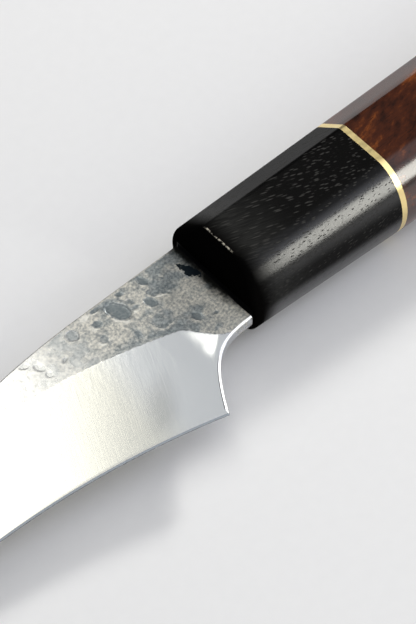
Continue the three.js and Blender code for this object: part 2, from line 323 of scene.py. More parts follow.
lamps = [
    window("back_window", 28, 26, 9, 9, 94.0, (1.0, 0.985, 0.94)),
    window("right_window", 72, 29, 30, 20, 4.5, (0.88, 0.90, 1.0)),
    window("high_window", 92, 62, 40, 36, 1.35, (0.89, 0.91, 1.0)),
    window("belly_window", 114, 26, 6, 30, 17.0, (0.985, 0.975, 0.90), lean=10),
    ceiling_lamp("bright_strip", 0.0395, 0.256, 0.20, 0.50, -21.5, 2.05, (1.0, 0.99, 0.92)),
    ceiling_lamp("dim_ceiling", 0.0035, 0.12, 0.407, 0.75, 0, 0.70, (0.97, 0.99, 1.0)),
]

world = bpy.data.worlds.new("room")
world.use_nodes = True
room = world.node_tree.nodes["Background"]
room.inputs["Color"].default_value = (0.84, 0.87, 1.0, 1)
room.inputs["Strength"].default_value = 0.08
scene.world = world
print("lamps:", [lamp.name for lamp in lamps])

# %% [markdown]
# Every piece is a grid of points: rows along the piece, columns round it. The columns close on
# themselves. The rows close too on a piece with a hole right through it, and otherwise each end is
# drawn to a single point. Faces are turned outward by the sign of the enclosed volume.

# %% Grid meshes
SHARP_ANGLE = np.radians(40)


def grid_faces(rows, columns, rows_close):
    """Quads between neighbouring rows and columns, with the last column joined to the first."""
    low = np.arange(rows if rows_close else rows - 1)[:, None]
    column = np.arange(columns)[None, :]
    high = (low + 1) % rows
    beside = (column + 1) % columns
    quads = [low * columns + column, low * columns + beside, high * columns + beside, high * columns + column]
    return np.stack(np.broadcast_arrays(*quads), -1).reshape(-1, 4)


def end_faces(point, row, columns, backward):
    """Triangles from one point to each neighbouring pair of a row."""
    column = np.arange(columns)
    pair = [row * columns + column, row * columns + (column + 1) % columns]
    if backward:
        pair.reverse()
    return np.stack([np.full(columns, point), *pair], -1)


def enclosed_volume(points, triangles):
    """Sum of the signed volumes of the tetrahedra from the origin to each triangle."""
    a, b, c = (points[triangles[:, i]] for i in range(3))
    return np.einsum("ij,ij->i", a, np.cross(b, c)).sum() / 6


def piece_from_grid(name, grid, ends=None):
    """A named object from a grid of shape rows, columns, 3 in the knife's directions.

    Without ends the rows close on themselves, and with ends, two points, each end is a fan."""
    rows, columns = grid.shape[:2]
    points = grid.reshape(-1, 3)
    quads = grid_faces(rows, columns, ends is None)
    fans = np.zeros((0, 3), int)
    if ends is not None:
        count = len(points)
        points = np.vstack([points, *ends])
        fans = np.vstack([end_faces(count, 0, columns, True), end_faces(count + 1, rows - 1, columns, False)])
    points = placed(points)
    triangles = np.vstack([quads[:, [0, 1, 2]], quads[:, [0, 2, 3]], fans])
    volume = enclosed_volume(points, triangles)
    if volume < 0:
        quads, fans = quads[:, ::-1], fans[:, ::-1]
    mesh = bpy.data.meshes.new(name)
    mesh.from_pydata(points.tolist(), [], quads.tolist() + fans.tolist())
    mesh.polygons.foreach_set("use_smooth", np.ones(len(mesh.polygons), bool))
    mesh.set_sharp_from_angle(angle=SHARP_ANGLE)
    piece = bpy.data.objects.new(name, mesh)
    scene.collection.objects.link(piece)
    print(name, len(triangles), "triangles,", round(abs(volume) * 1e9), "mm³")
    return piece


def paint(piece, name, values):
    """Keep one number per point of a piece under a name that its material reads."""
    attribute = piece.data.attributes.new(name, "FLOAT", "POINT")
    padded = np.zeros(len(piece.data.vertices), np.float32)
    padded[:values.size] = values.ravel()
    attribute.data.foreach_set("value", padded)


def dress(piece, node, material):
    """Let a piece stand for a solid, ride with the knife and wear a finish."""
    piece.data.materials.append(material)
    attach(piece, "root")
    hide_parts(node)


# %% [markdown]
# The blade's outline is the same as that of its solid: a spine that runs straight and then falls in
# one arc to the tip, a hollow edge that is an arc through heel and tip, and a choil that sweeps from
# the ferrule down to the heel. The dark forged flat ends at the grind line, below which the bevel is
# ground down to the edge. Near the choil the grind line plunges, which makes a shallow scoop.

# %% Blade outline
BLADE_HALF, TIP_HALF, EDGE_HALF = 0.925, 0.55, 0.12
SPINE_LEVEL, SPINE_STRAIGHT_TO = 6.95, 18.5
TIP_AHEAD, TIP_LEVEL = 80.0, -15.3
HEEL_AHEAD, HEEL_LEVEL = 12.55, -15.0
EDGE_RADIUS = 114.0
CHOIL_LEVEL, CHOIL_CURVE_FROM = -7.05, 2.5
CHOIL_HEEL_SLOPE, CHOIL_TIGHTNESS = np.tan(np.radians(62)), 0.83
PLUNGE_FROM, PLUNGE_TO = 4.0, 9.7
FLAT_DEPTH_AT_HEEL, FLAT_DEPTH_AHEAD = 8.65, 2.2
FLAT_NARROWING, FLAT_RUNOUT = 41.0, 25.0
SHOULDER_AHEAD = 1.8


def spine_at(ahead):
    """Level of the spine: straight, then the arc that leaves it without a kink and meets the tip."""
    run, fall = TIP_AHEAD - SPINE_STRAIGHT_TO, SPINE_LEVEL - TIP_LEVEL
    radius = (run**2 + fall**2) / (2 * fall)
    along = np.maximum(0, ahead - SPINE_STRAIGHT_TO)
    return SPINE_LEVEL - radius + np.sqrt(radius**2 - along**2)


def edge_at(ahead):
    """Level of the edge: the arc of the edge's radius through heel and tip, hollow side down."""
    run, rise = TIP_AHEAD - HEEL_AHEAD, TIP_LEVEL - HEEL_LEVEL
    chord = np.hypot(run, rise)
    offset = np.sqrt(EDGE_RADIUS**2 - chord**2 / 4)
    centre_ahead = (HEEL_AHEAD + TIP_AHEAD) / 2 + offset * rise / chord
    centre_level = (HEEL_LEVEL + TIP_LEVEL) / 2 - offset * run / chord
    return centre_level + np.sqrt(EDGE_RADIUS**2 - (ahead - centre_ahead) ** 2)


def choil_at(share):
    """Cubic Bézier curve from the level part at the ferrule to the heel, pulled into their corner."""
    start, heel = np.array([CHOIL_CURVE_FROM, CHOIL_LEVEL]), np.array([HEEL_AHEAD, HEEL_LEVEL])
    corner = np.array([HEEL_AHEAD - (CHOIL_LEVEL - HEEL_LEVEL) / CHOIL_HEEL_SLOPE, CHOIL_LEVEL])
    first, second = mix(start, corner, CHOIL_TIGHTNESS), mix(heel, corner, CHOIL_TIGHTNESS)
    t = np.asarray(share)[:, None]
    return (1 - t)**3 * start + 3 * t * (1 - t)**2 * first + 3 * t**2 * (1 - t) * second + t**3 * heel


def grind_level(ahead):
    """Level of the grind line without its plunge: a parabola that runs out at the tip."""
    left = np.maximum(0, 1 - (ahead - HEEL_AHEAD) / FLAT_NARROWING)
    depth = mix(FLAT_DEPTH_AHEAD, FLAT_DEPTH_AT_HEEL, left**2)
    return spine_at(ahead) - depth * np.minimum(1, (TIP_AHEAD - ahead) / FLAT_RUNOUT)


def grind_at(ahead, lower):
    """Level of the grind line: near the ferrule it plunges to the choil by smoothstep."""
    return mix(lower, np.maximum(grind_level(ahead), lower), smoothstep(ahead, PLUNGE_FROM, PLUNGE_TO))


NECK_ROWS, NEAR_ROWS, FAR_ROWS = 76, 230, 90
NEAR_TO = 43.0
choil = choil_at(np.linspace(0, 1, NECK_ROWS))
root_ahead = np.linspace(SHOULDER_AHEAD, CHOIL_CURVE_FROM, 6)[:-1]
near_ahead = np.linspace(HEEL_AHEAD + 0.02, NEAR_TO, NEAR_ROWS)
far_ahead = mix(NEAR_TO, TIP_AHEAD, 1 - (1 - np.linspace(0, 1, FAR_ROWS + 2)[1:-1])**1.3)
edge_ahead = np.concatenate([near_ahead, far_ahead])
ahead = np.concatenate([root_ahead, choil[:, 0], edge_ahead])[:, None]
lower = np.concatenate([np.full(len(root_ahead), CHOIL_LEVEL), choil[:, 1], edge_at(edge_ahead)])[:, None]
top = spine_at(ahead)
grind = grind_at(ahead, lower)
on_edge = ahead > HEEL_AHEAD
print("blade rows", len(ahead), "up to", round(float(ahead[-1, 0]), 2), "mm ahead of the rim")

# %% [markdown]
# Across the blade each row of points runs from the middle of the spine down one face to the edge,
# and back up the other face. The spine's corner is rounded, the choil has a narrow facet that rolls
# over into its wall, and the edge has a narrow second bevel. Points lie closest on the forged flat,
# which carries the pits.

# %% Blade section
SPINE_EASING, SPINE_INSET, SPINE_FALL = 0.22, 0.6, 0.999
CHOIL_EASING = 0.33
FACET_SHARE, FACET_SLOPE = 0.78, 0.42
ROLL_POWER = 2.6
SECOND_BEVEL = 0.28
EDGE_TIP_HALF = 0.072
EASING_CAP, STEEPEST = 0.3, 3
WHETTED_MARK = 50.0
STRIP_AT_HEEL, STRIP_AT_NECK, STRIP_POWER = 0.3, 2.6, 5
CREASED_BELOW = 0.80
SCOOP_FROM, SCOOP_RADIUS, SCOOP_LEAST = 9.9, 21.0, 0.3
SCOOP_LOW, SCOOP_HIGH = -10.0, -7.2
CREASE_FROM, CREASE_SOFTNESS = 6.5, 0.45
TIP_CLOSING = 5.0
SPINE_COLUMNS, EASED_COLUMNS = 6, 9

forward = np.maximum(0, (ahead - HEEL_AHEAD) / (TIP_AHEAD - HEEL_AHEAD))
closing = np.sqrt(1 - (1 - np.minimum(1, (TIP_AHEAD - ahead) / TIP_CLOSING)) ** 2)
half = mix(BLADE_HALF, TIP_HALF, forward) * closing
unplunged = grind_level(ahead)
drop_per_mm = np.where(
    on_edge,
    (half - EDGE_HALF * closing) / np.maximum(unplunged - lower, 0.01),
    (BLADE_HALF - EDGE_HALF) / (SPINE_LEVEL - FLAT_DEPTH_AT_HEEL - HEEL_LEVEL),
)

fall_share = (choil[:, 1] - HEEL_LEVEL) / (CHOIL_LEVEL - HEEL_LEVEL)
strip_width = STRIP_AT_HEEL + STRIP_AT_NECK * fall_share**STRIP_POWER
creased = fall_share < CREASED_BELOW
plunge_ahead = np.linspace(CREASE_FROM, PLUNGE_TO, 40)
plunge_level = grind_at(plunge_ahead, np.interp(plunge_ahead, choil[:, 0], choil[:, 1]))
scoop_level = np.concatenate([choil[creased, 1][::-1], plunge_level])
scoop_ahead = np.concatenate([(choil[:, 0] + strip_width)[creased][::-1], plunge_ahead])


def face_half(level):
    """Half thickness at a level: full on the flat, and below the grind line a plane down to the edge.

    Beside the ferrule the wheel leaves the plane on a circle, so the plane rises with the square of
    the distance, just enough to meet the flat at the grind line and at most as the scoop's radius
    allows, with a soft change between the two. The scoop fades downward. Along the choil the rise
    stops at a soft crease, and a strip is level."""
    crease = np.interp(level, scoop_level, scoop_ahead)
    ground = np.maximum(0, drop_per_mm * (unplunged - level))
    meeting = ground / np.maximum(SCOOP_FROM - crease, SCOOP_LEAST) ** 2
    curve = meeting / (1 + (2 * SCOOP_RADIUS * meeting) ** 3) ** (1 / 3)
    curve = curve * smoothstep(level, SCOOP_LOW, SCOOP_HIGH)
    beyond = (ahead + crease + np.hypot(ahead - crease, CREASE_SOFTNESS)) / 2
    reach = np.maximum(0, SCOOP_FROM - beyond)
    return half - np.maximum(0, ground - curve * reach**2)


choil_slope = np.gradient(choil[:, 1], choil[:, 0])
steepness = np.interp(ahead, choil[:, 0], np.minimum(STEEPEST, np.hypot(1, choil_slope)))
easing = np.where(on_edge, SECOND_BEVEL, CHOIL_EASING * steepness)
tall = top - lower
spine_easing = np.minimum(SPINE_EASING, EASING_CAP * tall)
easing = np.minimum(easing, EASING_CAP * tall)
flat_low = np.clip(grind, lower + easing, top - spine_easing)

spine_share = np.linspace(0, 1, SPINE_COLUMNS)[None, :]
across = np.sin(spine_share * np.pi / 2)
spine_level = top - spine_easing * (1 - np.sqrt(1 - across**2 * SPINE_FALL))
spine_half = half - SPINE_INSET * spine_easing * (1 - across)
spine_half[:, 0] = 0

eased_share = np.sin(np.linspace(0, np.pi / 2, EASED_COLUMNS + 1))[None, 1:]
eased_level = lower + easing * (1 - eased_share)


def face_levels(flat_columns, bevel_columns):
    """Levels of a face's columns: the first lot down the flat, and the second lot down the bevel."""
    flat_share = np.linspace(0, 1, flat_columns)[None, :]
    bevel_share = np.linspace(0, 1, bevel_columns + 1)[None, 1:]
    flat_level = mix(top - spine_easing, flat_low, flat_share)
    return np.concatenate([flat_level, mix(flat_low, lower + easing, bevel_share)], 1)


print("thickness at the heel", round(2 * float(half[on_edge][0]), 2), "mm")

# %% [markdown]
# Forging leaves scale, and where scale was hammered in and fell out it leaves pits. The larger ones
# are listed one by one, and small ones are strewn with a seeded draw. A pit has a flat floor, a short
# wall and a ragged outline. Between the pits the steel is lumpy and grainy.

# %% Forged flat
LATTICE = 64


def cloud(x, y, cell, seed):
    """Random values on a square lattice of one cell, blended by smoothstep, from -1 to 1."""
    lattice = np.random.default_rng(seed).uniform(-1, 1, (LATTICE, LATTICE))
    u, v = x / cell, y / cell
    i, j = np.floor(u).astype(int), np.floor(v).astype(int)
    s, t = smoothstep(u - i, 0, 1), smoothstep(v - j, 0, 1)
    i, j, next_i, next_j = (n % LATTICE for n in (i, j, i + 1, j + 1))
    near = mix(lattice[i, j], lattice[next_i, j], s)
    far = mix(lattice[i, next_j], lattice[next_i, next_j], s)
    return mix(near, far, t)


# Each pit: distance ahead of the rim, level, length, width, turn of its length in degrees, depth.
LARGE_PITS = [
    (13.2, 4.4, 4.1, 2.3, 68, 0.110),
    (19.5, 5.4, 1.9, 1.7, 47, 0.070),
    (16.3, 4.6, 1.4, 1.2, 48, 0.030),
    (16.3, 4.6, 0.7, 0.6, 48, 0.060),
    (11.2, 4.5, 1.2, 0.8, 64, 0.070),
    (11.6, 6.2, 1.5, 0.8, 31, 0.040),
    (14.9, 6.4, 2.5, 0.7, 179, 0.040),
    (8.2, 5.8, 2.2, 1.2, 70, 0.070),
    (6.5, 3.9, 4.6, 3.4, 15, 0.012),
    (9.4, 2.8, 1.9, 1.3, 56, 0.070),
    (9.8, 0.2, 3.6, 2.6, 19, 0.014),
    (6.6, -2.5, 1.8, 1.3, 61, 0.040),
    (26.6, 6.0, 1.5, 1.2, 42, 0.030),
    (25.3, 4.6, 1.7, 1.2, 52, 0.030),
    (25.0, 3.0, 1.0, 0.9, 50, 0.025),
    (17.0, 2.4, 1.3, 1.2, 0, 0.030),
    (22.4, 3.4, 1.2, 0.8, 150, 0.040),
    (4.6, -3.6, 1.0, 0.7, 30, 0.030),
]
SMALL_PITS = 110
WALL_SLOPE, WALL_LEAST, WALL_SHARE, PIT_RIM = 0.40, 0.16, 0.15, 0.40
WANDER_SHARE, SHALLOW_PIT, DEEP_LOOSENESS = 0.13, 0.02, 0.1
SHALLOW_SLATE = 0.8
FULL_FLOOR_LENGTH, FULL_RIM_LENGTH = 1.1, 1.6
RIM_ALL_ROUND, TIPWARD, EDGEWARD = 0.2, 0.75, 0.66
RIM_AND_HIGHLIGHT_MARK, FACET_MARK, BORDER_MARK = 0.2, -1.0, -0.6
SMALL_PIT_REACH = 62.0
LUMP_HEIGHT, GRAIN_HEIGHT = 0.007, 0.006


def strewn_pits(seed):
    """A seeded draw of small pits over the flat: many small ones and few larger ones."""
    rng = np.random.default_rng(seed)
    size = 0.35 + 0.75 * rng.random(SMALL_PITS) ** 3
    return np.column_stack([
        rng.uniform(1.5, SMALL_PIT_REACH, SMALL_PITS),
        rng.uniform(-7, SPINE_LEVEL, SMALL_PITS),
        size,
        size * rng.uniform(0.55, 0.95, SMALL_PITS),
        rng.uniform(0, 180, SMALL_PITS),
        0.006 + 0.02 * rng.random(SMALL_PITS),
    ])


def pitted(level, pits, seed):
    """Depth of the pits at every point, and how much each point is floor and rim, from 0 to 1.

    Distance from an outline is measured in the pit's length and width and made ragged by a cloud. A
    shallow pit also wanders and has a wide wall, while a deep one stays crisp. Inside, the wall falls
    at one slope, and outside the pale rim fades as a bell curve, with a painted highlight on its side
    towards tip and edge, which is the side that faces the light."""
    place = np.broadcast_to(ahead, level.shape)
    depth, floor_share, rim_and_highlight_share = np.zeros((3, *level.shape))
    ragged = 0.09 * cloud(place, level, 0.7, seed) + 0.03 * cloud(place, level, 0.3, seed + 1)
    wander = cloud(place, level, 1.2, seed + 7) + 0.5 * cloud(place, level, 0.6, seed + 8)
    for pit_ahead, pit_level, length, width, turn, deep in pits:
        c, s = np.cos(np.radians(turn)), np.sin(np.radians(turn))
        dx, dy = place - pit_ahead, level - pit_level
        reach = np.hypot((dx * c + dy * s) / (length / 2), (dy * c - dx * s) / (width / 2))
        shallow = deep < SHALLOW_PIT
        loose = width * (1 if shallow else DEEP_LOOSENESS)
        outside = (reach - 1) * width / 2 + ragged + WANDER_SHARE * loose * wander
        inside = np.clip(-outside / max(WALL_LEAST, deep / WALL_SLOPE, WALL_SHARE * loose), 0, 1)
        depth = np.maximum(depth, deep * inside)
        slate_limit = min(SHALLOW_SLATE if shallow else 1, length / FULL_FLOOR_LENGTH)
        floor_share = np.maximum(floor_share, inside * slate_limit)
        # The rim's painted highlight lies on its side towards tip and edge, the side that faces the light.
        rubbed = np.maximum(0, TIPWARD * dx - EDGEWARD * dy) / np.hypot(np.hypot(dx, dy), 0.1)
        rim = np.exp(-(np.maximum(0, outside) / PIT_RIM) ** 2) * (inside <= 0)
        rim = rim * mix(RIM_ALL_ROUND, 1, rubbed) * min(1, length / FULL_RIM_LENGTH)
        rim_and_highlight_share = np.maximum(rim_and_highlight_share, rim)
    return depth, floor_share, rim_and_highlight_share


def forged(level, pits, seed):
    """How far the forged flat stands below its plane, and where it is smooth slate scale.

    Broad slate patches thin out beside the ferrule, and again ahead of the pits, where the scale is
    worn to bright steel, and a slate band follows the grind line. The pale rim of a pit, with its
    painted highlight, is marked by a small negative value."""
    place = np.broadcast_to(ahead, level.shape)
    depth, floor_share, rim_and_highlight_share = pitted(level, pits, seed)
    worn = smoothstep(place, 12, 28)
    patches = cloud(place, level, 2.6, seed + 2) + 0.6 * cloud(place, level, 0.9, seed + 3) - 0.7 * worn
    patches -= 1.1 * smoothstep(place, 8.5, 4.0) * smoothstep(level, 3.5, 1.5)
    patches = smoothstep(patches, -0.55, 0.25)
    band = 0.75 * smoothstep(level - grind, 2.4, 0.2) * smoothstep(place, 6, 9) * (1 - worn)
    slate = np.maximum(floor_share * (1 - 0.25 * worn), np.maximum(0.85 * patches, band))
    slate = np.where(floor_share > 0.01, slate, slate * (1 - rim_and_highlight_share) - RIM_AND_HIGHLIGHT_MARK * rim_and_highlight_share)
    lumps = LUMP_HEIGHT * (cloud(place, level, 0.9, seed + 4) + 0.7 * cloud(place, level, 0.5, seed + 5))
    grain = GRAIN_HEIGHT * cloud(place, level, 0.26, seed + 6) * (1 - 0.8 * slate)
    return depth + np.maximum(0, lumps + grain + LUMP_HEIGHT), slate


def blade_face(level, pits, seed):
    """Levels, half thickness and finish of one face, from the spine's middle to the edge's middle.

    The slate value is the facet mark on the choil's facet and the border mark just above it. On the
    second bevel the height above the grind line is lowered by the whetted mark. Facet and second
    bevel have finishes of their own. Past its facet the choil rolls over as a superellipse."""
    sunk, slate = forged(level, pits, seed)
    on_flat = smoothstep(level - grind, -0.05, 0.25) * smoothstep(top - level, 0.2, 0.7)
    thick = face_half(level) - sunk * on_flat * closing
    foot = face_half(lower + easing)
    facet = FACET_SLOPE * CHOIL_EASING * np.minimum(eased_share, FACET_SHARE)
    turn_share = np.maximum(0, (eased_share - FACET_SHARE) / (1 - FACET_SHARE))
    rounded = (foot - facet) * (1 - turn_share**ROLL_POWER) ** (1 / ROLL_POWER)
    sharpened = mix(foot, EDGE_TIP_HALF, eased_share)
    last = np.where(on_edge, sharpened, rounded)
    last[:, -1] = np.where(on_edge[:, 0], EDGE_TIP_HALF * closing[:, 0], 0.0)
    levels = np.concatenate([spine_level, level, eased_level], 1)
    halves = np.concatenate([spine_half, thick, last], 1)
    choil_mark = FACET_MARK * (~on_edge & (eased_share <= FACET_SHARE + 0.02))
    slate[:, -1:] = np.where(on_edge, slate[:, -1:], BORDER_MARK)
    slate_all = np.concatenate([np.zeros_like(spine_level), slate, choil_mark], 1)
    above = levels - grind
    above[:, -EASED_COLUMNS:] -= np.where(on_edge, WHETTED_MARK, 0)
    return levels, halves, above, slate_all


UPPER_COLUMNS, UPPER_PIT_SEED, UPPER_SEED = (96, 40), 3, 11
UNDER_COLUMNS, UNDER_PIT_SEED, UNDER_SEED = (26, 16), 29, 41
upper_pits = LARGE_PITS + strewn_pits(UPPER_PIT_SEED).tolist()
upper = blade_face(face_levels(*UPPER_COLUMNS), upper_pits, UPPER_SEED)
under = blade_face(face_levels(*UNDER_COLUMNS), strewn_pits(UNDER_PIT_SEED).tolist(), UNDER_SEED)
print("pits on the upper face", len(upper_pits), "and on the lower face", SMALL_PITS)

# %% [markdown]
# The two faces are joined into closed rings, and the tang is the last few rings, a flat bar that is
# narrower than the shoulder. One piece from tip to tang, as it was forged.

# %% Blade
TANG_HALF_HEIGHT, TANG_END_HALF_HEIGHT, TANG_HALF = 3.5, 2.25, 0.8
TANG_LENGTH, TANG_STEP = 54.0, 0.3


def ring_join(first, second):
    """Join two faces into rings: down the first, then back up the second without its shared ends."""
    return np.concatenate([first, second[:, -2:0:-1]], 1)


levels = ring_join(upper[0], under[0])
sides = ring_join(upper[1], -under[1])
blade_grid = np.stack([np.broadcast_to(-ahead, levels.shape), levels, sides], -1)
shoulder = blade_grid[0]
tang_x = np.array([-SHOULDER_AHEAD, -SHOULDER_AHEAD + TANG_STEP, TANG_LENGTH - SHOULDER_AHEAD])
tang_height = np.array([TANG_HALF_HEIGHT, TANG_HALF_HEIGHT, TANG_END_HALF_HEIGHT])
shoulder_level = shoulder[:, 1] / np.abs(shoulder[:, 1]).max()
tang_side = TANG_HALF * shoulder[:, 2] / BLADE_HALF
tang_rows = np.broadcast_arrays(tang_x[:, None], tang_height[:, None] * shoulder_level, tang_side)
blade_grid = np.concatenate([np.stack(tang_rows, -1)[::-1], blade_grid], 0)
tang_end = np.array([[tang_x[-1], 0, 0]])
tip = np.array([[-TIP_AHEAD, TIP_LEVEL, 0]])
blade = piece_from_grid("blade_forging", blade_grid, (tang_end, tip))
bare = np.zeros((3, len(shoulder)))
paint(blade, "above_grind", np.concatenate([bare, ring_join(upper[2], under[2])], 0))
paint(blade, "slate", np.concatenate([bare, ring_join(upper[3], under[3])], 0))

# %% [markdown]
# The blade's finish has two looks. Above the grind line it is dark forge scale: blue-grey and smooth
# in the pits, paler, warmer and rough between them, with pale rims round the pits that carry a painted
# highlight on their side towards tip and edge. Scale is an oxide, so it scatters light where bare
# steel mirrors it. Towards the tip it is rubbed to bright steel, and its colour there is painted
# lighter as the reflection of the bright strip. Below the line it is polished steel with fine
# scratches and, beside the line, faint ripples of the wheel. Its colour warms ahead of the heel, and
# one soft darker patch there is a painted reflection of the dim room. The whetted second bevel is
# darker, and the choil's facet is satin. A little noise makes the border as uneven as a hand-ground
# one. Beside the ferrule the steel is painted nearly black as painted shade and reflection of the
# black nose, and one drop of the sealing epoxy set as a ragged stain.

# %% Blade steel
# Where the tip is rubbed bright and its colour painted lighter as a reflection.
WORN_AND_LIT_FROM, WORN_AND_LIT_FULL = -15.0, -32.0
# Reach of the painted shade and reflection of the black nose on the steel.
NOSE_SHADE_FROM, NOSE_SHADE_FULL = -3.9, -1.9
STAIN_TURN = (0, 0, np.radians(108))
STAIN_ALONG, STAIN_ACROSS = 3.95, 1.9
STAIN_HALF_LENGTH, STAIN_HALF_WIDTH = 1.35, 0.6
SCRATCH_TURN = (0, 0, -0.42)
WARM_FROM, WARM_FULL = -16.0, -22.0
# Place and width of the painted dark reflection on the bevel.
DARK_REFLECTION_SLOPE, DARK_REFLECTION_AHEAD, DARK_REFLECTION_HALF_WIDTH = 0.6, 12.6, 3.6

blade_steel, tree, shader = new_material("blade_steel")
above = add(tree, "Attribute", attribute_name="above_grind").outputs["Fac"]
slate = add(tree, "Attribute", attribute_name="slate").outputs["Fac"]
place = place_of(tree)

border = minus(noise(tree, 0.5, detail=4.0), 0.5)
scaled = ramp(plus(above, times(border, 0.55)), -0.06, 0.10)
speckle = noise(tree, 0.35, detail=6.0, roughness=0.65)
blotch = noise(tree, 1.1, detail=5.0, roughness=0.6)
uneven = times(minus(blotch, 0.5), 2.0)
smooth_scale = ramp(plus(slate, uneven), -0.05, 1.0)
crust = blend(ramp(speckle, 0.35, 0.66), (0.275, 0.285, 0.278), (0.70, 0.668, 0.588))
pit_speckle = times(ramp(speckle, 0.36, 0.64), ramp(slate, 0.84, 1.0, 1.0, 0.3))
pit_scale = blend(pit_speckle, (0.130, 0.156, 0.166), (0.335, 0.362, 0.366))
# Pale rims round the pits, with a painted highlight on their side towards tip and edge.
pale_rim_and_highlight = ramp(plus(slate, times(uneven, 0.12)), -0.18, -0.03, 0.85, 0.0)
rimmed_and_highlighted = blend(pale_rim_and_highlight, crust, (0.86, 0.84, 0.77))
# Towards the tip the scale is rubbed to bright steel, and its colour is painted lighter there as the
# reflection of the bright strip.
worn_and_lit_place = plus(place["X"], times(uneven, 4.0))
rubbed_and_lit = fade(worn_and_lit_place, WORN_AND_LIT_FULL, WORN_AND_LIT_FROM)
mottled = blend(rubbed_and_lit, blend(smooth_scale, rimmed_and_highlighted, pit_scale), (0.95, 0.945, 0.92))
scale_rough = minus(varied(blotch, 0.30, 0.37), times(smooth_scale, 0.10))

# Beside the nose the steel is painted nearly black: painted shade and reflection of the black nose.
nose_shade_lean = ramp(place["Y"], -5.5, -1.5, -1.0, 0.0)
nose_shade_place = plus(plus(place["X"], uneven), nose_shade_lean)
nose_shade = ramp(nose_shade_place, NOSE_SHADE_FROM, NOSE_SHADE_FULL, 0.0, 0.99)
nose_shaded = blend(nose_shade, mottled, (0.010, 0.010, 0.009))
drop = place_of(tree, STAIN_TURN)
run_x = maths("DIVIDE", minus(drop["X"], STAIN_ALONG), STAIN_HALF_LENGTH)
run_y = maths("DIVIDE", minus(drop["Y"], STAIN_ACROSS), STAIN_HALF_WIDTH)
run_square = plus(times(run_x, run_x), times(run_y, run_y))
run_ragged = plus(run_square, times(border, 5.0))
upper_face = ramp(place["Z"], 6.6, 6.8)
stained = times(fade(run_ragged, 0.9, 1.2), upper_face)

scratches = noise(tree, (0.06, 5.0, 5.0), SCRATCH_TURN, roughness=0.6)
ground_steel = blend(scratches, (0.63, 0.645, 0.655), (0.67, 0.68, 0.69))
warmth = fade(place["X"], WARM_FULL, WARM_FROM)
warmed = blend(warmth, ground_steel, (0.672, 0.664, 0.612))
# A soft darker patch on the bevel ahead of the heel: a painted reflection of the dim part of the room.
dark_reflection_line = minus(place["X"], times(place["Y"], DARK_REFLECTION_SLOPE))
off_dark_reflection = maths("ABSOLUTE", plus(dark_reflection_line, DARK_REFLECTION_AHEAD))
dark_reflection_top = ramp(place["Y"], -9.0, -4.0, 0.6, 0.0)
dark_reflection_fade = times(dark_reflection_top, ramp(place["Y"], -13.2, -9.8))
dark_reflection = times(fade(off_dark_reflection, 0.0, DARK_REFLECTION_HALF_WIDTH), dark_reflection_fade)
with_dark_reflection = blend(dark_reflection, warmed, (0.43, 0.435, 0.42))
whetted = fade(above, -0.9 * WHETTED_MARK, -0.6 * WHETTED_MARK)
polish = blend(whetted, with_dark_reflection, (0.23, 0.25, 0.265))
polish_rough = between(whetted, varied(scratches, 0.09, 0.13), 0.26)
ripples = noise(tree, (0.45, 1.6, 1.6), SCRATCH_TURN, detail=2.0)
rippled = times(ripples, ramp(above, -5.0, -1.5, 0.25, 1.0))
lines = bump(scratches, 0.0012, bump(rippled, 0.0023))
grains = bump(speckle, 0.012)

satin_edge = fade(slate, -0.85, -0.35)
worn_rough = between(rubbed_and_lit, scale_rough, 0.27)
face_rough = between(scaled, polish_rough, worn_rough)
dulled = between(times(nose_shade, scaled), face_rough, 0.75)
shade_and_stain = maths("MAXIMUM", nose_shade, stained)
unrubbed = minus(1.0, maths("MAXIMUM", rubbed_and_lit, shade_and_stain))
oxide = times(scaled, minus(1.0, satin_edge), unrubbed)
face_colour = blend(satin_edge, blend(scaled, polish, nose_shaded), (0.95, 0.95, 0.94))
normal = add(tree, "Mix", {0: scaled, 4: lines, 5: grains}, data_type="VECTOR").outputs[1]
fill(shader, {
    "Base Color": blend(stained, face_colour, (0.010, 0.015, 0.020)),
    "Metallic": minus(1.0, times(oxide, 0.7)),
    "Roughness": between(satin_edge, dulled, 0.5),
    "Normal": normal,
})
dress(blade, "blade", blade_steel)

# %% [markdown]
# The handle has one section all the way: a crowned spine, two chamfers, two side flats and a rounded
# belly. It only grows towards the butt. So the outline is worked out once at each end, with the same
# number of points, and every ring between them is a straight blend of the two.

# %% Handle outline
CORNER_EASING, CORNER_STEPS = 0.45, 8
SPINE_STEPS, CHAMFER_STEPS, FLAT_STEPS, BELLY_STEPS = 14, 20, 30, 44


def spread(count):
    """Shares from 0 to 1, closer together at both ends, without the last one."""
    return (1 - np.cos(np.pi * np.arange(count) / count)) / 2


def turned(start, corner, end):
    """Quadratic Bézier curve round a corner, without its last point."""
    t = np.arange(CORNER_STEPS)[:, None] / CORNER_STEPS
    return (1 - t)**2 * start + 2 * t * (1 - t) * corner + t**2 * end


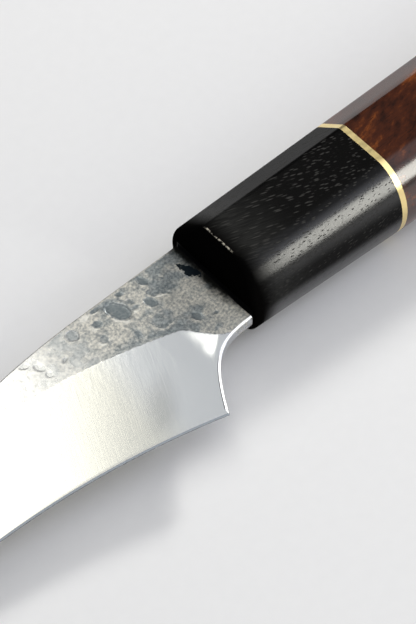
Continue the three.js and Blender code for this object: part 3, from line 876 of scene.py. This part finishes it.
def outline_of(size):
    """Closed ring of y and z: from the middle of the spine down one side, and its mirror image.

    The spine is a parabola that is highest in its middle. Corners are quadratic Bézier curves that
    start and end the easing away from the corner, and the belly is a quarter of an ellipse."""
    half_width = size["thickness"] / 2
    spine_half = half_width - size["chamfer_depth"]
    corner = np.array([size["spine"], spine_half])
    shoulder = np.array([size["spine"] - size["chamfer_height"], half_width])
    flat_end = np.array([size["flat_end"], half_width])
    slope = CORNER_EASING * (shoulder - corner) / np.linalg.norm(shoulder - corner)
    down = np.array([-CORNER_EASING, 0])
    z = np.append(spread(SPINE_STEPS), 1) * (spine_half - CORNER_EASING)
    crowned = np.column_stack([size["spine"] + size["crown"] * (1 - (z / spine_half) ** 2), z])
    angle = np.linspace(0, np.pi / 2, BELLY_STEPS)
    drop = size["belly"] - size["flat_end"]
    side = np.vstack([
        crowned[:-1],
        turned(crowned[-1], corner, corner + slope),
        mix(corner + slope, shoulder - slope, spread(CHAMFER_STEPS)[:, None]),
        turned(shoulder - slope, shoulder, shoulder + down),
        mix(shoulder + down, flat_end, spread(FLAT_STEPS)[:, None]),
        np.column_stack([size["flat_end"] + drop * np.sin(angle), half_width * np.cos(angle)]),
    ])
    return np.vstack([side, side[-2:0:-1] * np.array([1, -1])])


front_outline, butt_outline = outline_of(FRONT), outline_of(BUTT)
RING = len(front_outline)
ray = np.arctan2(front_outline[:, 1], front_outline[:, 0])
ray_direction = np.column_stack([np.cos(ray), np.sin(ray)])


def section(x):
    """The ring of the handle at x, one x for all points or one for each."""
    share = np.asarray(x, float)[..., None] / HANDLE_LENGTH
    return mix(front_outline, butt_outline, share)


def ring_at(x, outline):
    """A row of grid points: an outline of y and z at one x, or at an x for each point."""
    return np.column_stack([np.broadcast_to(x, RING), outline])


print("handle outline", RING, "points")

# %% [markdown]
# The ferrule is turned and filed from black wood. Its nose is crowned: a flat land where the blade
# seats, falling off to the side flats, with the rim well rounded at the spine and belly and almost
# crisp at the side flats. Inside it keeps the mouth for the tang and the bore for the dowel, so its
# rows run once round the wall and close on themselves.

# %% Ferrule
NOSE_CROWN, NOSE_LAND = 1.45, 1.775
NOSE_ROUND, NOSE_SIDE_ROUND = 0.7, 0.16
RIM_SMOOTHING = 5
NOSE_INNER_ROWS, NOSE_OUTER_ROWS, NOSE_SPLIT, NOSE_CLOSENESS = 8, 27, 0.55, 2.4
SIDE_ROWS, SIDE_CLOSENESS = 30, 1.6
FERRULE_FRONT_WALL = 3.5
MOUTH_HALF = np.array([3.9, 1.2])
DOWEL_CLEARANCE = 0.15
BORE_RADIUS = (dowel_high.y - dowel_low.y) / 2 / MM + DOWEL_CLEARANCE

bore = BORE_RADIUS * ray_direction
mouth = ray_direction * np.min(MOUTH_HALF / np.maximum(np.abs(ray_direction), 1e-6), axis=1)[:, None]
rim_y = front_outline[:, 0]
on_side = (rim_y <= FRONT["spine"] - FRONT["chamfer_height"]) & (rim_y >= FRONT["flat_end"])
rim_round = np.where(on_side, NOSE_SIDE_ROUND, NOSE_ROUND)
kernel = np.hanning(2 * RIM_SMOOTHING + 3)[1:-1]
kernel /= kernel.sum()
rim_round = np.convolve(np.pad(rim_round, RIM_SMOOTHING, "wrap"), kernel, "valid")


def nose_row(reach):
    """One row of the nose, at a share of the way from the mouth to the rim.

    The crown falls with the square of the distance beyond the land, and near the rim the edge drops
    back along a quarter circle of the rounding there."""
    outline = mix(mouth, front_outline, reach)
    beyond = np.maximum(0, np.abs(outline[:, 1]) - NOSE_LAND) / (FRONT["thickness"] / 2 - NOSE_LAND)
    depth = (1 - reach) * np.linalg.norm(front_outline - mouth, axis=1)
    inside = np.clip(rim_round - depth, 0, rim_round)
    x = -NOSE_CROWN + NOSE_CROWN * beyond**2 + rim_round - np.sqrt(rim_round**2 - inside**2)
    return ring_at(x, mix(mouth, section(x), reach))


inner_reach = np.linspace(0, NOSE_SPLIT, NOSE_INNER_ROWS)
outer_share = 1 - (1 - np.linspace(0, 1, NOSE_OUTER_ROWS)[1:]) ** NOSE_CLOSENESS
nose = [nose_row(reach) for reach in [*inner_reach, *mix(NOSE_SPLIT, 1, outer_share)]]
rim = nose[-1]
side_share = np.linspace(0, 1, SIDE_ROWS)[1:] ** SIDE_CLOSENESS
sides_x = [mix(rim[:, 0], FERRULE_LENGTH, share) for share in side_share]
ferrule_sides = [ring_at(x, section(x)) for x in sides_x]
inside_rows = [
    ring_at(FERRULE_LENGTH, bore),
    ring_at(FERRULE_FRONT_WALL, bore),
    ring_at(FERRULE_FRONT_WALL, mouth),
]
ferrule = piece_from_grid("ferrule_wood", np.stack([*nose, *ferrule_sides, *inside_rows]))

# %% [markdown]
# What shows of black wood is its polish and its pores, which are thin tubes along the grain. The
# grain dips into the surface towards the back of the ferrule, so a pore is cut as a long line near
# the nose and as a short dash near the brass. The coat is a hard wax that mirrors more than a
# varnish, rubbed brightest on the belly and least on the flats. The end grain of the nose has none.

# %% Black wood
GRAIN_TURN = (0, 0, -0.35)
GRAIN_DIP = 0.010
PORE_LENGTH, PORE_SPACING = 2.1, 0.30
WAX_IOR = 1.75
RUBBED_FROM, RUBBED_FULL = -3.5, -4.9
FALL_PER_MM = (FRONT["flat_end"] - BUTT["flat_end"]) / HANDLE_LENGTH


def belly_place(place):
    """The Y of a place, raised along the handle as much as the end of the side flat falls."""
    return plus(place["Y"], times(place["X"], FALL_PER_MM))


black_wood, tree, shader = new_material("black_wood")
place = place_of(tree)
along = place_of(tree, GRAIN_TURN)
dip = times(along["X"], along["X"], GRAIN_DIP)
grain_place = add(tree, "CombineXYZ", {
    "X": maths("DIVIDE", along["X"], PORE_LENGTH),
    "Y": maths("DIVIDE", along["Y"], PORE_SPACING),
    "Z": maths("DIVIDE", minus(along["Z"], dip), PORE_SPACING),
}).outputs[0]
cells = add(tree, "TexVoronoi", {"Vector": grain_place, "Scale": 1.0, "Randomness": 1.0})
chance = add(tree, "SeparateColor", {0: cells.outputs["Color"]}).outputs["Red"]
shown = times(ramp(chance, 0.0, 0.45), ramp(place["Z"], 4.5, 9.5, 0.12, 1.0))
pore = times(fade(cells.outputs["Distance"], 0.16, 0.40), shown)
streak = noise(tree, (5.0, 0.14, 0.14), GRAIN_TURN, roughness=0.6)
polished = ramp(place["X"], -0.2, 3.0)
worn_front = times(fade(place["X"], 1.0, 10.0), polished)

black = blend(streak, (0.0016, 0.0015, 0.0014), (0.0036, 0.0034, 0.0032))
hazy = blend(ramp(streak, 0.35, 0.65), (0.009, 0.009, 0.0085), (0.024, 0.024, 0.0225))
wood_black = blend(worn_front, black, hazy)
# A pale broken line is painted along the front edge of the side flats.
at_rim = times(ramp(place["X"], -0.04, 0.05), fade(place["X"], 0.12, 0.24))
on_flat = times(ramp(place["Z"], 12.7, 12.9), ramp(place["Y"], -1.6, -0.6))
pale_edge_line = times(at_rim, on_flat, ramp(noise(tree, 0.5), 0.42, 0.56))
rim_wood = blend(pale_edge_line, wood_black, (0.62, 0.57, 0.46))

on_belly = fade(belly_place(place), RUBBED_FULL, RUBBED_FROM)
rub_high = times(ramp(place["Z"], 9.0, 11.6), on_belly)
rub_front = times(rub_high, ramp(place["X"], 0.5, 6.5, 0.2, 1.0))
rubbed_belly = maths("MAXIMUM", rub_front, fade(place["Z"], 6.0, 7.8))
on_chamfer = ramp(place["Y"], 3.4, 3.9, 0.12, 0.27)
gloss = plus(on_chamfer, times(rubbed_belly, 0.84))
unpored = minus(1.0, times(pore, 0.9))
fill(shader, {
    "Base Color": blend(times(pore, polished), rim_wood, (0.045, 0.044, 0.041)),
    "Roughness": varied(streak, 0.55, 0.68),
    "Specular IOR Level": 0.0,
    "Coat Weight": times(gloss, unpored, polished),
    "Coat Roughness": 0.26,
    "Coat IOR": WAX_IOR,
    "Normal": bump(minus(times(streak, 0.1), pore), 0.015),
})
dress(ferrule, "ferrule", black_wood)

# %% [markdown]
# The spacer is a brass plate, filed flush with the wood on both sides. It is a ring in section, with
# the dowel's bore through it, so its rows close on themselves too.

# %% Brass spacer
plate_outer = [ring_at(x, section(x)) for x in np.linspace(FERRULE_LENGTH, SPACER_BACK, 5)]
plate_inner = [ring_at(x, bore) for x in (SPACER_BACK, FERRULE_LENGTH)]
spacer = piece_from_grid("spacer_plate", np.stack([*plate_outer, *plate_inner]))

brass, tree, shader = new_material("brass")
rubbed = noise(tree, (1.2, 0.5, 0.5), detail=4.0)
tarnish = noise(tree, 2.5)
fill(shader, {
    "Base Color": blend(tarnish, (0.95, 0.745, 0.335), (0.97, 0.79, 0.40)),
    "Metallic": 1.0,
    "Roughness": varied(rubbed, 0.28, 0.36),
    "Normal": bump(rubbed, 0.004),
})
dress(spacer, "brass_spacer", brass)

# %% [markdown]
# The body carries the same outline on to the butt, whose edge is eased with a quarter circle. It is
# blind bored for the dowel, so one end of its grid is the bottom of the bore and the other the middle
# of the butt.

# %% Handle body
BUTT_EASING = 1.6
BODY_ROWS, BUTT_ROWS, CAP_SHARES = 46, 14, (0.25, 0.5, 0.75)
DOWEL_END_CLEARANCE = 0.3
BORE_BACK = dowel_high.x / MM - RIM_X + DOWEL_END_CLEARANCE


def butt_row(angle):
    """A row of the eased butt: it moves back with the sine of an angle and draws in with its cosine."""
    x = HANDLE_LENGTH - BUTT_EASING * (1 - np.sin(angle))
    inset = BUTT_EASING * (1 - np.cos(angle))
    outline = section(x)
    centre = np.array([(outline[:, 0].max() + outline[:, 0].min()) / 2, 0])
    arm = outline - centre
    length = np.linalg.norm(arm, axis=1)[:, None]
    return ring_at(x, centre + arm * (1 - inset / length)), np.array([[x, *centre]])


bore_rows = [ring_at(x, bore) for x in (BORE_BACK, SPACER_BACK)]
body_x = mix(SPACER_BACK, HANDLE_LENGTH - BUTT_EASING, np.linspace(0, 1, BODY_ROWS))
body_rows = [ring_at(x, section(x)) for x in body_x]
butt_rows = [butt_row(angle)[0] for angle in np.linspace(0, np.pi / 2, BUTT_ROWS)[1:]]
butt_centre = butt_row(np.pi / 2)[1]
cap_rows = [mix(butt_rows[-1], butt_centre, s) for s in CAP_SHARES]
bore_end = np.array([[BORE_BACK, 0, 0]])
body_grid = np.stack([*bore_rows, *body_rows, *butt_rows, *cap_rows])
body = piece_from_grid("handle_wood", body_grid, (bore_end, butt_centre))

# %% [markdown]
# The body is a dense, oily, red-brown wood with a mottled figure. Broad darker and orange clouds run
# askew to the grain, fine fibres run along it, and short dark pores break it up. It wears the same
# wax as the ferrule, glossiest on the belly, less so on the chamfers and least on the flats.

# %% Figured wood
FIGURE_TURN = (0, 0.1, 0.35)
GROWTH_PER_MM = (BUTT["thickness"] - FRONT["thickness"]) / HANDLE_LENGTH

figured_wood, tree, shader = new_material("figured_wood")
clouds = noise(tree, (9.0, 3.2, 3.2), FIGURE_TURN, detail=4.0, roughness=0.6, distortion=0.8)
mottle = noise(tree, (1.5, 0.8, 0.8), FIGURE_TURN, detail=5.0, roughness=0.65)
fibre = noise(tree, (6.0, 0.16, 0.16), (0, 0.03, 0.05), detail=4.0, roughness=0.6)
dark_pore = fade(noise(tree, (2.2, 0.2, 0.2), detail=2.0), 0.28, 0.36)
figure = plus(times(clouds, 0.6), times(mottle, 0.4))
red_brown = blend(ramp(figure, 0.36, 0.54), (0.017, 0.0055, 0.0032), (0.064, 0.0165, 0.0065))
orange = blend(ramp(figure, 0.52, 0.68), red_brown, (0.25, 0.066, 0.013))
fibred = blend(ramp(fibre, 0.35, 0.75, 0.0, 0.45), orange, (0.028, 0.0105, 0.0075))
place = place_of(tree)
thickness = plus(times(place["X"], GROWTH_PER_MM), FRONT["thickness"])
height_share = maths("DIVIDE", place["Z"], thickness)
down = belly_place(place)
on_chamfer = ramp(down, 3.9, 4.5, 0.54, 0.74)
rubbed = maths("MAXIMUM", on_chamfer, fade(down, RUBBED_FULL, RUBBED_FROM))
fill(shader, {
    "Base Color": blend(times(dark_pore, 0.7), fibred, (0.010, 0.0045, 0.0035)),
    "Roughness": varied(fibre, 0.42, 0.52),
    "Specular IOR Level": 0.0,
    "Coat Weight": times(rubbed, ramp(height_share, 0.90, 0.98, 1.0, 0.7)),
    "Coat Roughness": 0.20,
    "Coat IOR": WAX_IOR,
    "Normal": bump(minus(fibre, dark_pore), 0.006),
})
dress(body, "handle_body", figured_wood)

# %% [markdown]
# Black epoxy seals the mouth. It was wiped to a small hollow fillet round the blade. The fillet is a
# curve carried round the blade: a concave superellipse whose foot lies on the nose and whose lip lies
# on the steel.

# %% Mouth seal
SEAL_TOP, SEAL_BOTTOM = 6.65, -6.3
SEAL_BEAD, SEAL_LIP = 0.45, 0.40
SEAL_GAP, SEAL_DEPTH, SEAL_BACK = 0.015, 0.12, 0.30
SEAL_COLUMNS = 360

turn_angle = np.linspace(0, 1, SEAL_COLUMNS, endpoint=False) * 2 * np.pi
spoke = np.column_stack([np.cos(turn_angle), np.sin(turn_angle)])
reach = np.abs(spoke)
square = spoke / reach.max(1, keepdims=True)
centre = np.array([(SEAL_TOP + SEAL_BOTTOM) / 2, 0])
loop = centre + square * np.array([(SEAL_TOP - SEAL_BOTTOM) / 2, BLADE_HALF])
outward = np.where(reach >= reach[:, ::-1] - 1e-9, np.sign(spoke), 0)
uneven = 1 + 0.10 * cloud(loop[:, 0] + 40, loop[:, 1] + 40, 1.6, 5)
fillet_angle = np.linspace(0, np.pi / 2, 14)[:, None]
hollow_out = np.cos(fillet_angle) ** 3 * SEAL_BEAD * uneven + SEAL_GAP
hollow_up = np.sin(fillet_angle) ** 3 * SEAL_LIP * uneven
inner_out = np.full((2, SEAL_COLUMNS), -SEAL_DEPTH)
inner_up = np.array([[SEAL_BACK], [0.0]]) * np.ones(SEAL_COLUMNS)
out = np.concatenate([hollow_out, inner_out], 0)[..., None]
forward_x = -NOSE_CROWN - np.concatenate([hollow_up, inner_up], 0)
seal_grid = np.concatenate([forward_x[..., None], loop + out * outward], -1)
seal = piece_from_grid("mouth_fillet", seal_grid)

BLACKS = (0.0012, 0.0013, 0.0015), (0.003, 0.0033, 0.004)
black_epoxy, shader = plain_finish("black_epoxy", 0.4, BLACKS, (0.35, 0.55), 0.01, detail=4.0)
fill(shader, {"Specular IOR Level": 0.05})
dress(seal, "mouth_seal", black_epoxy)

# %% [markdown]
# The dowel and the bed of the tang are sealed inside the handle. Their solids already have the right
# shape, so they stay and only get a finish: pale turned wood, and honey-coloured cured epoxy.

# %% Hidden pieces
PALE_WOODS = (0.44, 0.30, 0.16), (0.60, 0.45, 0.27)
HONEYS = (0.30, 0.16, 0.04), (0.42, 0.25, 0.08)
GROWTH = (14.0, 0.7, 0.7)
dowel_wood = plain_finish("dowel_wood", GROWTH, PALE_WOODS, (0.55, 0.7), 0.02, detail=4.0)[0]
amber_epoxy = plain_finish("amber_epoxy", 2.0, HONEYS, (0.2, 0.35), 0.02)[0]
hidden = [("core_dowel", "dowel_wood", dowel_wood), ("tang_bed", "amber_epoxy", amber_epoxy)]
for node, slot, material in hidden:
    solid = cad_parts[node]
    solid.data.materials.clear()
    solid.data.materials.append(material)
print("hidden pieces dressed")
